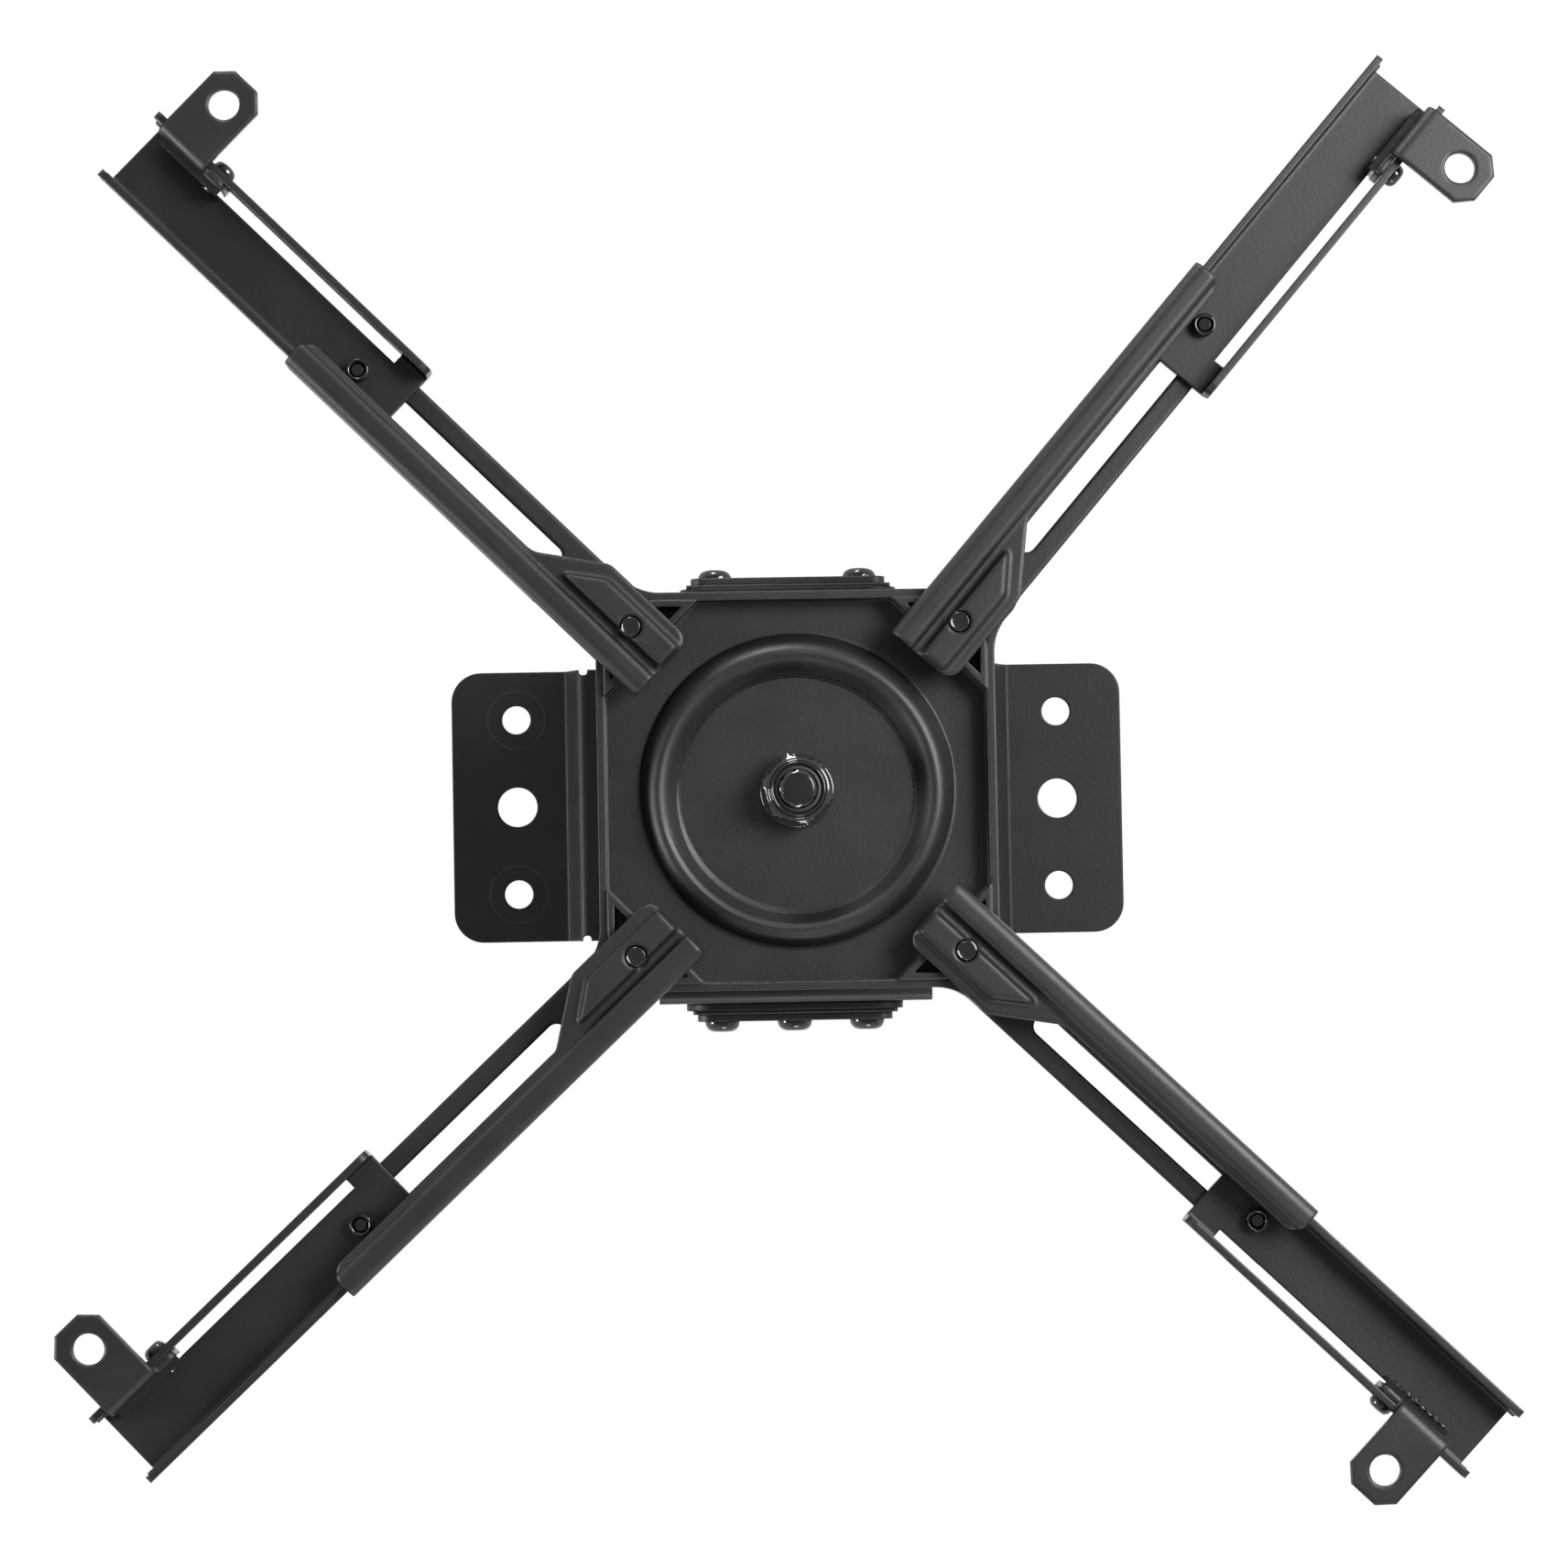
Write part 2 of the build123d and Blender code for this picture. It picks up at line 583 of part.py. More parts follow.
def inner_arm():
    """One folded channel, closed on one side, with a slotted bar behind and a ridged front."""
    wide = SHEET + BEND
    tight = BEND / 2
    ridge_foot = RIDGE_V + RIDGE_SLOPE
    section = outline(
        (BAR_V, SHEET), (ARM_WALL_V, SHEET, wide), (ARM_WALL_V, RIDGE_TOP, wide),
        (RIDGE_V, RIDGE_TOP, RIDGE_ROUND), (ridge_foot, ARM_OUTER_FACE, tight),
        (LIP_V, ARM_OUTER_FACE), (LIP_V, ARM_INNER_FACE),
        (ridge_foot - RIDGE_WALL, ARM_INNER_FACE, BEND),
        (RIDGE_V - RIDGE_WALL, RIDGE_INNER, tight), (ARM_WALL_V + SHEET, RIDGE_INNER, BEND),
        (ARM_WALL_V + SHEET, 0, BEND), (BAR_V, 0))
    arm = along_x(section, ARM_BACK_END, ARM_LENGTH)
    wing_end = WING_ROOT + WING_RUN
    wing = outline(
        (ARM_BACK_END, ridge_foot), (ARM_BACK_END, WING_V, WING_CORNER),
        (WING_END, WING_V, WING_SHOULDER), (WING_ROOT, LIP_V, WING_FOOT), (wing_end, LIP_V),
        (wing_end, ridge_foot))
    arm += along_z(wing, ARM_OUTER_FACE, ARM_INNER_FACE)
    arm += pressed(boss_outline(), ARM_OUTER_FACE, RIDGE_RISE)
    arm -= pressed(offset(boss_outline(), -BOSS_WALL), ARM_INNER_FACE, RIDGE_RISE)
    arm -= along_z(outline(
        (ARM_BACK_END - 1, ARM_WALL_V - 1), (ARM_WALL_START, ARM_WALL_V - 1),
        (ARM_WALL_START, ARM_WALL_V + wide), (ARM_BACK_END - 1, ARM_WALL_V + wide)),
        ARM_INNER_FACE, 0)
    turn_u = ARM_LENGTH - LIP_CORNER
    turn_v = LIP_V - LIP_CORNER
    corner = outline((turn_u, turn_v), (ARM_LENGTH + 1, turn_v), (ARM_LENGTH + 1, LIP_V + 1),
                     (turn_u, LIP_V + 1))
    corner -= Pos(turn_u, turn_v) * Circle(LIP_CORNER)
    arm -= along_z(corner, RIDGE_TOP - 1, ARM_INNER_FACE + 1)
    slot_length = ARM_SLOT_END - ARM_SLOT_START
    slot = Pos((ARM_SLOT_START + ARM_SLOT_END) / 2, 0) * SlotOverall(slot_length, ARM_SLOT)
    arm -= along_z(slot, -1, SHEET + 1)
    return arm - disc(PIN_DIA + 2 * RUNNING, RIDGE_TOP - 1, SHEET + 1)


def outer_arm():
    """One folded U that slides in the inner arm, with a window along its right-hand wall."""
    section = outline(
        (SLIDER_LEFT_V, -SLIDER_WALL), (SLIDER_LEFT_V, 0, SHEET + BEND),
        (SLIDER_RIGHT_V, 0, SHEET + BEND), (SLIDER_RIGHT_V, -SLIDER_WALL),
        (SLIDER_RIGHT_INNER_V, -SLIDER_WALL), (SLIDER_RIGHT_INNER_V, -SHEET, BEND),
        (SLIDER_LEFT_V + SHEET, -SHEET, BEND), (SLIDER_LEFT_V + SHEET, -SLIDER_WALL))
    arm = along_x(section, SLIDER_START, SLIDER_END)
    web_end = SLIDER_END - SLIDER_WEB_SHORT
    left = SLIDER_LEFT_V + SHEET + TIP_ROOT
    right = SLIDER_RIGHT_INNER_V - TIP_ROOT
    arm -= along_z(outline((web_end, left), (SLIDER_END + 1, left), (SLIDER_END + 1, right),
                           (web_end, right)), -SHEET - BEND, 1)
    window_v = SLIDER_RIGHT_INNER_V - WINDOW_WIDTH
    arm -= along_z(outline(
        (WINDOW_START, window_v), (WINDOW_END, window_v), (WINDOW_END, SLIDER_RIGHT_INNER_V),
        (WINDOW_START, SLIDER_RIGHT_INNER_V)), -SHEET - BEND, 1)
    start = LUG_SCREW_U - LUG_TRAVEL
    slot_length = LUG_TRAVEL + M4["dia"] + 4 * RUNNING
    slot = Pos((start + LUG_SCREW_U) / 2, LUG_SCREW_Z) * SlotOverall(
        slot_length, M4["dia"] + 4 * RUNNING)
    arm -= along_y(slot, SLIDER_RIGHT_INNER_V - 1, SLIDER_RIGHT_V + 1)
    wall_view = outline(
        (SLIDER_START, 0), (SLIDER_START, -SLIDER_WALL, SLIDER_CORNER),
        (SLIDER_END, -SLIDER_WALL, SLIDER_TIP), (SLIDER_END, 0))
    arm &= along_y(wall_view, SLIDER_LEFT_V, SLIDER_RIGHT_V)
    return arm - disc(M4["dia"] + 2 * RUNNING, -SHEET - 1, 1, SLIDER_SCREW_U)


def lug_bracket():
    """An L: its leg stands in the outer arm's window and its foot holds the projector screw."""
    end = LUG_START + LUG_WIDTH
    section = outline(
        (LEG_INNER_V, -SHEET - BEND), (LEG_OUTER_V, -SHEET - BEND),
        (LEG_OUTER_V, LUG_INNER_FACE, BEND), (LUG_TIP_V, LUG_INNER_FACE), (LUG_TIP_V, LUG_OUTER_FACE),
        (LEG_INNER_V, LUG_OUTER_FACE, SHEET + BEND))
    foot = outline(
        (LUG_START, LEG_INNER_V), (end, LEG_INNER_V), (end, LUG_TIP_V - LUG_CHAMFER),
        (end - LUG_CHAMFER, LUG_TIP_V), (LUG_START + LUG_CHAMFER, LUG_TIP_V),
        (LUG_START, LUG_TIP_V - LUG_CHAMFER))
    lug = along_x(section, LUG_START, end) & along_z(foot, LUG_OUTER_FACE - 1, 0)
    leg_end = LEG_START + LUG_LEG_LENGTH
    leg = outline(
        (LEG_START, -2 * SLIP), (leg_end, -2 * SLIP), (leg_end, -SLIDER_WALL),
        (LEG_START, -SLIDER_WALL, LUG_LEG_CORNER))
    lug += along_y(leg, LEG_INNER_V, LEG_OUTER_V)
    lug -= disc(LUG_HOLE, LUG_OUTER_FACE - 1, LUG_INNER_FACE + 1, LUG_MIDDLE,
                LUG_TIP_V - LUG_HOLE_FROM_TIP)
    screw_hole = Pos(LUG_SCREW_U, LUG_SCREW_Z) * Circle(M4["dia"] / 2 + THREAD_GAP)
    return lug - along_y(screw_hole, LEG_INNER_V - 1, LEG_OUTER_V + 1)


def slide_screw():
    """The screw that locks an outer arm, its head behind the slotted bar."""
    grip = 2 * SHEET + COLLAR_HEIGHT - SCREW_SUNK
    return Pos(SLIDER_SCREW_U, 0, SHEET) * button_screw(M4, grip)


def slide_nut():
    """Its round press nut, on the front of the outer arm's web."""
    end = -SHEET - COLLAR_HEIGHT
    collar = disc(COLLAR_DIA, end, -SHEET, SLIDER_SCREW_U)
    return collar - disc(M4["dia"] + 2 * THREAD_GAP, end - 1, 1 - SHEET, SLIDER_SCREW_U)


def lug_screw():
    """The screw that locks a lug bracket to the outer arm's wall."""
    grip = SLIDER_RIGHT_V - LEG_INNER_V + SHEET + SCREW_PROUD / 2
    return aimed(button_screw(M4, grip), (LUG_SCREW_U, SLIDER_RIGHT_V, LUG_SCREW_Z), (0, 1, 0))


def lug_nut():
    """Its nut plate, standing inside the outer arm against the leg."""
    end = LEG_START + NUT_PLATE_LENGTH
    top = -SHEET - SLIP
    plate = outline((LEG_START, top), (end, top), (end, -NUT_PLATE_DROP),
                    (LEG_START, -NUT_PLATE_DROP))
    plate -= Pos(LUG_SCREW_U, LUG_SCREW_Z) * Circle(M4["dia"] / 2 + THREAD_GAP)
    return along_y(plate, LEG_INNER_V - SHEET, LEG_INNER_V)


# Assembly

def tilted(shape):
    """A piece of the level head, turned about the pitch axis with its +Y side down."""
    return Pos(0, 0, PITCH_Z) * Rot(-HEAD_PITCH, 0, 0) * Pos(0, 0, -PITCH_Z) * shape


def on_arm(shape, number, reach=0.0):
    """A piece of an arm at its pivot pin, turned to its own angle and drawn out by its reach."""
    x_side, y_side = PIN_SIDES[number]
    place = Pos(x_side * PIN_REACH, y_side * PIN_REACH, PLATE_BACK)
    return tilted(place * Rot(0, 0, ARM_ANGLES[number]) * Pos(reach, 0, 0) * shape)


def build_nodes():
    """Every sub-part by its name."""
    locks = (-LOCK_RADIUS, LOCK_RADIUS)
    nodes = {
        "ceiling_plate": ceiling_plate(),
        "roll_shim_front": roll_shim(),
        "roll_shim_rear": mirror(roll_shim(), about=Plane.XZ),
        "clamp_plate_front": clamp_plate(),
        "clamp_plate_rear": mirror(clamp_plate(), about=Plane.XZ),
        "roll_lock_screws": roll_lock_screws(),
        "roll_lock_nuts": roll_lock_nuts(),
        "roll_pivot_screw": roll_screw(0, 1),
        "roll_pivot_nut": roll_nut(0, 1),
        "roll_pivot_rivet": roll_pivot_rivet(),
        "gimbal_frame": gimbal_frame(),
        "pitch_lock_screws": pitch_screws(locks),
        "pitch_lock_nuts": pitch_nuts(locks),
        "pitch_pivot_screws": pitch_screws((0,)),
        "pitch_pivot_nuts": pitch_nuts((0,)),
        "swivel_yoke": tilted(swivel_yoke()),
        "centre_bolt": tilted(centre_bolt()),
        "sleeve_washer": tilted(sleeve_washer()),
        "centre_washer": tilted(centre_washer()),
        "centre_lock_nut": tilted(centre_lock_nut()),
        "spider_plate": tilted(spider_plate()),
    }
    pivoted = {"pivot_pin": pivot_pin(), "inner_arm": inner_arm()}
    sliding = {"outer_arm": outer_arm(), "slide_screw": slide_screw(), "slide_nut": slide_nut()}
    lugs = {"lug_bracket": lug_bracket(), "lug_screw": lug_screw(), "lug_nut": lug_nut()}
    for number in ARM_ANGLES:
        extension = ARM_EXTENSION[number]
        reaches = ((pivoted, 0.0), (sliding, extension), (lugs, extension + LUG_OFFSET[number]))
        for pieces, reach in reaches:
            for name, shape in pieces.items():
                nodes[f"{name}_{number}"] = on_arm(shape, number, reach)
    return nodes


os.makedirs("parts", exist_ok=True)
for node, shape in build_nodes().items():
    export_step(shape, f"parts/{node}.step")
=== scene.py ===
"""Looks of the projector ceiling mount: finishes, fasteners, studio and camera."""
import json
import math

import bmesh
import bpy
from mathutils import Matrix, Vector


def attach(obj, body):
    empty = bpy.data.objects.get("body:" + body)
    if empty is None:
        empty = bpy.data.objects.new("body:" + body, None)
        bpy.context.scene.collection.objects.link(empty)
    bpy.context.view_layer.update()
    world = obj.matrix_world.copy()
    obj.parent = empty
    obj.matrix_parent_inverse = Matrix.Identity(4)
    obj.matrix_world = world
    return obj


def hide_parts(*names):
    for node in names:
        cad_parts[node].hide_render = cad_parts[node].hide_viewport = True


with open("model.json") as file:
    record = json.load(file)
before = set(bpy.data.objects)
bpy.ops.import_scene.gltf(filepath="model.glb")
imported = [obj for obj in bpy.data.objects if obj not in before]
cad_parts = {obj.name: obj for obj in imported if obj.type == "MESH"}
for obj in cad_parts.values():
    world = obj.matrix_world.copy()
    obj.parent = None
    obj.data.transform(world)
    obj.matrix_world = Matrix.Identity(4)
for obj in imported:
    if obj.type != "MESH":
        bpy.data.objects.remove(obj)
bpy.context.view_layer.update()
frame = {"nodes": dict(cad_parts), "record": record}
MM = 0.001

# Camera, worked out from the photograph: places in millimetres, roll in degrees, clipping
# distances in metres
IMAGE_PX = 1712
SENSOR = 36.0
FOCAL_PX = 4357.0
CAMERA = (-30.6, 33.2, -1146.6)
AIM = (-3.4, -2.3, -93.0)
CAMERA_ROLL = -1.03
CLIP = (0.05, 50.0)

# Floor: its drop in millimetres, its size in metres, and its glow at a distance in metres
FLOOR_DROP = 2600.0
FLOOR_SIZE = 60.0
FLOOR_NEAR = (1.1, 0.17)
FLOOR_FAR = (5.0, 0.85)
FLOOR_GREYS = (0.86, 0.9)
WHITE = (1.0, 1.0, 1.0, 1.0)
WORLD_LIGHT = 0.1

# Lamps: name, place and size in millimetres, watts
LAMP_AIM = (0, 0, -60)
LAMPS = (
    ("key", (720, -290, -820), (600, 600), 20),
    ("left", (-1000, 150, -320), (400, 200), 9),
    ("low", (100, 1000, -340), (300, 200), 2.5),
    ("high", (-150, -1000, -320), (300, 200), 6),
    ("over", (300, -500, 1300), (1400, 1400), 12),
)

# Faint rings round two holes of one ear: centre, radius and width in millimetres
EAR_MARKS = (
    ((-77.5, 25.0, -2.0), 8.2, 0.25),
    ((-77.5, -25.0, -2.0), 8.2, 0.25),
)

# Places of the fasteners, as in the frame, in millimetres
ROLL_Z = -34.0
PITCH_Z = -68.0
LOCK_RADIUS = 20.15
CLAMP_FACE = 61.4
CHEEK_FACE = 49.0
ARM_EXTENSION = {"1": 5.4, "2": 1.1, "3": 0.6, "4": 4.7}
LUG_OFFSET = {"1": -9.8, "2": -5.1, "3": -4.1, "4": -2.8}
SLIDE_SCREW_U = 99.3
LUG_SCREW = (165.0, 13.2, -5.85)
SHEET = 2.0

# Screw sizes and grips in millimetres, and the turns of their recesses in radians
M5 = {"radius": 2.5, "pitch": 0.8, "head": 4.9, "rise": 2.95}
M4 = {"radius": 2.0, "pitch": 0.7, "head": 3.8, "rise": 2.9}
LUG_HEAD = {"radius": 2.0, "pitch": 0.7, "head": 3.3, "rise": 2.3}
ROLL_GRIP = 12.1
PITCH_GRIP = 9.1
SLIDE_GRIP = 6.7
LUG_GRIP = 6.6
ROLL_TURN = 0.6
PITCH_TURN = 0.3
LUG_TURN = 0.4

# Screw shapes: the gap under a head and the lengths of a thread and its end, in millimetres
SEAT_GAP = 0.04
THREAD_RUN = 3.2
THREAD_FADE = 0.1

# Depth of a thread and taper of a screw's tip as shares of the pitch, and steps to a pitch
THREAD_DEPTH = 0.55
TIP_TAPER = 0.6
THREAD_STEPS = 8

# Domed heads: height of the widest edge in millimetres, angle in degrees and roundness
HEAD_EDGE = 0.25
DOME_ANGLE = 68.0
DOME_POWER = 0.6
DOME_STEPS = 8

# Cross recess: half length and half width as shares of the head's radius, the level of its
# floor as a share of the rise, and a limit that keeps its outline finite
RECESS_TOP = (0.48, 0.115)
RECESS_FLOOR = (0.24, 0.07)
RECESS_LEVEL = 0.42
NARROWEST = 0.001

# Centre bolt, lock nut, washer and insert: pairs of radius and height, and for the flats
# of a hexagon pairs of corner radius and height
BOLT = {"radius": 5.0, "pitch": 1.5}
BOLT_TIP = ((3.9, -15.4), (4.15, -15.3))
BOLT_THREAD = (-14.7, -2.0)
BOLT_NECK = ((5.0, -1.9), (5.0, 5.0))
BOLT_FLATS = ((9.3, 5.0), (9.82, 5.6), (9.82, 10.8), (9.3, 11.2))
BOLT_TOP = ((8.2, 11.4),)
HALF_FLATS = 8.5
NUT_TURN = math.radians(15)
NUT_LIP = (
    (6.2, -10.9), (6.2, -13.0), (6.32, -13.3), (6.42, -13.55), (6.6, -13.74), (6.85, -13.8),
    (7.05, -13.74), (7.2, -13.55), (7.28, -13.2), (7.32, -12.2), (7.45, -11.6), (7.7, -11.25),
    (8.0, -11.12), (8.3, -11.0), (8.5, -10.8))
NUT_FLATS = ((9.0, -10.5), (9.82, -10.05), (9.82, -4.5), (9.1, -4.05))
NUT_BORE = ((8.3, -4.0), (5.3, -4.0), (5.1, -4.3), (5.1, -10.9))
WASHER = (
    (5.2, -2.02), (5.2, -3.8), (5.4, -3.99), (9.25, -3.99), (9.55, -3.93), (9.75, -3.75),
    (9.84, -3.45), (9.84, -2.3), (9.7, -2.02))
INSERT = (
    (5.05, -11.0), (5.05, -12.9), (5.3, -13.15), (5.9, -13.15), (6.18, -12.95), (6.18, -11.0))

# Pivot pins and press nuts: pairs of radius and height
PIN_RADIUS = 2.85
PIN_END = -14.9
PIN_TIP = (
    (1.9, 0.14), (2.12, 0.06), (2.28, 0.0), (2.42, 0.05), (2.52, 0.22), (2.52, 1.6),
    (PIN_RADIUS, 1.7))
PIN_HEAD = (
    (PIN_RADIUS, 0.0), (4.8, 0.0), (5.0, 0.2), (5.0, 1.0), (4.7, 1.6), (4.0, 1.9), (3.0, 2.0))
PRESS_NUT = (
    (2.08, -2.0), (2.08, -4.9), (2.3, -5.12), (2.5, -5.2), (2.72, -5.17), (2.92, -5.0),
    (3.0, -4.75), (3.0, -2.0))

# Weld bead of the one lug bracket that shows it, along u at one v and height
WELDED = "1"
WELD_U = (166.5, 182.0)
WELD_V = 7.1
WELD_HEIGHT = -8.9
WELD_SIZE = 0.72
WELD_STEPS = 64

# Ring of the spider plate: heights over the plate's front, in millimetres
PLATE_FRONT = -93.0
BEAD_INNER = 31.3
BEAD_OUTER = 42.0
BEAD_RISE = 5.0
BEAD_ROUNDNESS = 1.3
BEAD_SINK = 0.1
BEAD_PROUD = 0.16
BEAD_BACK = 0.4
BEAD_LIP = ((-0.75, BEAD_SINK), (-0.5, -BEAD_PROUD), (-0.2, -BEAD_PROUD))
BEAD_STEPS = 28

# Sides of every round shape, and the angle in degrees from which an edge is sharp
SEGMENTS = 96
SHARP_ANGLE = 40


# Finishes

class Nodes:
    """Adds and links the nodes of one material or world."""

    def __init__(self, tree):
        self.tree = tree
        tree.nodes.clear()

    def add(self, kind, values=None, **settings):
        """A node with its settings, and with its inputs set or linked."""
        node = self.tree.nodes.new(kind)
        for name, value in settings.items():
            setattr(node, name, value)
        for name, value in (values or {}).items():
            if isinstance(value, bpy.types.NodeSocket):
                self.tree.links.new(value, node.inputs[name])
            else:
                node.inputs[name].default_value = value
        return node

    def place(self):
        """The place of a point on the object."""
        return self.add("ShaderNodeTexCoord").outputs["Object"]

    def noise(self, place, scale, detail, roughness=0.5):
        """A soft noise from 0 to 1."""
        return self.add("ShaderNodeTexNoise", {
            "Vector": place, "Scale": scale, "Detail": detail,
            "Roughness": roughness}).outputs["Fac"]

    def calc(self, operation, *values):
        """The result of one operation on numbers."""
        return self.add("ShaderNodeMath", dict(enumerate(values)),
                        operation=operation).outputs["Value"]

    def ramp(self, factor, low, high, start=0.0, end=1.0):
        """Maps a factor from start to end onto low to high."""
        return self.add("ShaderNodeMapRange", {
            "Value": factor, "From Min": start, "From Max": end,
            "To Min": low, "To Max": high}).outputs["Result"]

    def blend(self, factor, low, high):
        """A colour between two."""
        return self.add("ShaderNodeMix", {"Factor": factor, "A": low, "B": high},
                        data_type="RGBA").outputs["Result"]

    def edge(self, radius, samples):
        """A normal that rounds the edges."""
        return self.add("ShaderNodeBevel", {"Radius": radius * MM},
                        samples=samples).outputs["Normal"]

    def bump(self, height, strength, distance, normal=None):
        """A normal that follows a height, on top of another normal where given."""
        values = {"Height": height, "Strength": strength, "Distance": distance * MM}
        if normal is not None:
            values["Normal"] = normal
        return self.add("ShaderNodeBump", values).outputs["Normal"]

    def surface(self, values):
        """The main shader, joined to the material's output."""
        shader = self.add("ShaderNodeBsdfPrincipled", values)
        self.add("ShaderNodeOutputMaterial", {"Surface": shader.outputs["BSDF"]})


def new_material(name):
    """An empty node material and its helper."""
    material = bpy.data.materials.new(name)
    material.use_nodes = True
    return material, Nodes(material.node_tree)


def grey(value, blue=0.0):
    """A grey, a little cooler where asked."""
    return (value, value, value * (1 + blue), 1.0)


def ring_mark(nodes, place, centre, radius, width):
    """A mask that is 1 on a thin ring round a centre and fades to 0 beside it."""
    offset = nodes.add("ShaderNodeVectorMath", {
        0: place, 1: [value * MM for value in centre]}, operation="DISTANCE")
    gap = nodes.calc("SUBTRACT", offset.outputs["Value"], radius * MM)
    return nodes.ramp(nodes.calc("ABSOLUTE", gap), low=1.0, high=0.0, end=width * MM)


def powder_coat(name, tone=0.010, edge_radius=0.8, gloss_level=0.42, marks=()):
    """Satin black powder coat: fine orange peel, cloudy gloss and soft bright edges."""
    material, nodes = new_material(name)
    place = nodes.place()
    peel = nodes.noise(place, scale=900.0, detail=3.0, roughness=0.55)
    cloud = nodes.noise(place, scale=55.0, detail=4.0, roughness=0.6)
    specks = nodes.add("ShaderNodeTexVoronoi", {"Vector": place, "Scale": 420.0})
    speck_mask = nodes.ramp(specks.outputs["Distance"], low=1.0, high=0.0, start=0.02, end=0.07)
    gloss = nodes.ramp(cloud, low=0.41, high=0.50, start=0.3, end=0.7)
    tint = nodes.blend(cloud, grey(tone * 0.85), grey(tone * 1.2, 0.02))
    dust = nodes.calc("MULTIPLY", speck_mask, 0.05)
    colour = nodes.blend(dust, tint, grey(0.12))
    # Lighter thin rings round two holes of one ear, broken up by the cloud noise and blended into
    # the colour
    for mark in marks:
        ring_tint = nodes.calc("MULTIPLY", ring_mark(nodes, place, *mark), cloud)
        colour = nodes.blend(ring_tint, colour, grey(0.05))
    soft_edge = nodes.edge(radius=edge_radius, samples=8)
    relief = nodes.bump(peel, strength=0.35, distance=0.12, normal=soft_edge)
    nodes.surface({
        "Base Color": colour, "Roughness": gloss, "Specular IOR Level": gloss_level,
        "Normal": relief})
    return material


def black_fastener(name, tone=0.006):
    """Glossy black plating: nearly smooth, with faint tool marks and rounded edges."""
    material, nodes = new_material(name)
    marks = nodes.noise(nodes.place(), scale=700.0, detail=2.0)
    gloss = nodes.ramp(marks, low=0.09, high=0.16, start=0.3, end=0.7)
    tint = nodes.blend(marks, grey(tone * 0.8), grey(tone * 1.6))
    soft_edge = nodes.edge(radius=0.14, samples=6)
    relief = nodes.bump(marks, strength=0.08, distance=0.05, normal=soft_edge)
    nodes.surface({
        "Base Color": tint, "Roughness": gloss, "Specular IOR Level": 0.5,
        "Coat Weight": 0.3, "Coat Roughness": 0.05,
        "Normal": relief})
    return material


def nylon(name):
    """Black nylon with a fine moulded grain."""
    material, nodes = new_material(name)
    grain = nodes.noise(nodes.place(), scale=1500.0, detail=2.0)
    tint = nodes.blend(grain, grey(0.012), grey(0.022))
    nodes.surface({
        "Base Color": tint, "Roughness": 0.5,
        "Normal": nodes.bump(grain, strength=0.3, distance=0.05)})
    return material


def coat(node, finish):
    """Gives one node of the frame its finish."""
    mesh = frame["nodes"][node].data
    mesh.materials.clear()
    mesh.materials.append(finish)


def dress_nodes():
    """Finishes for every node of the frame, by its slot in the record."""
    finishes = {
        "black_powder_coat": powder_coat("powder_coat"),
        "black_fastener": black_fastener("black_fastener"),
        "nylon": nylon("nylon"),
        "marked_coat": powder_coat("powder_coat_marked", tone=0.014, gloss_level=0.2,
                                   marks=EAR_MARKS),
        "soft_coat": powder_coat("powder_coat_soft", edge_radius=1.7),
    }
    for row in frame["record"]["subparts"]:
        coat(row["node"], finishes[row["material_slot"]])
    coat("ceiling_plate", finishes["marked_coat"])
    for number in ARM_EXTENSION:
        coat(f"inner_arm_{number}", finishes["soft_coat"])
        coat(f"lug_bracket_{number}", finishes["soft_coat"])
    return finishes


# Outlines of turned shapes: a radius in millimetres for each angle about +Z

def circle(radius):
    """A round outline."""
    return lambda angle: radius


def hexagon(corner, turn):
    """A hexagon outline, its corners cut back to the corner radius."""
    def radius(angle):
        return min(corner, HALF_FLATS / math.cos((angle - turn) % (math.pi / 3) - math.pi / 6))
    return radius


def cross(length, half_width):
    """The outline of a cross recess."""
    def radius(angle):
        wide = max(abs(math.cos(angle)), abs(math.sin(angle)))
        slim = max(min(abs(math.cos(angle)), abs(math.sin(angle))), NARROWEST)
        return min(length / wide, half_width / slim)
    return radius


def thread(size, height):
    """The outline of a thread at one height."""
    def radius(angle):
        phase = (height / size["pitch"] + angle / (2 * math.pi)) % 1.0
        depth = size["pitch"] * THREAD_DEPTH * (1 - abs(2 * phase - 1))
        return size["radius"] - SEAT_GAP - depth
    return radius


def lumps(size, height):
    """The outline of a rough weld bead at one height, with slow and quick waves."""
    slow = 0.28 * math.sin(4.1 * height)
    quick = 0.2 * math.sin(9.7 * height + 1.3)
    swell = 1 + slow + quick
    return lambda angle: size * swell * (1 + 0.16 * math.sin(3 * angle + 2.6 * height))


# Stations: outlines with their heights, from one end of a shape to the other

def turned(profile, base=0.0):
    """Round stations from pairs of radius and height over a base."""
    return [(circle(radius), base + height) for radius, height in profile]


def six_sided(profile, turn=0.0):
    """Hexagonal stations from pairs of corner radius and height."""
    return [(hexagon(corner, turn), height) for corner, height in profile]


def threaded(size, start, end):
    """The stations of a thread between two heights."""
    steps = max(2, round(abs(end - start) / size["pitch"] * THREAD_STEPS))
    heights = [start + (end - start) * step / steps for step in range(steps + 1)]
    return [(thread(size, height), height) for height in heights]


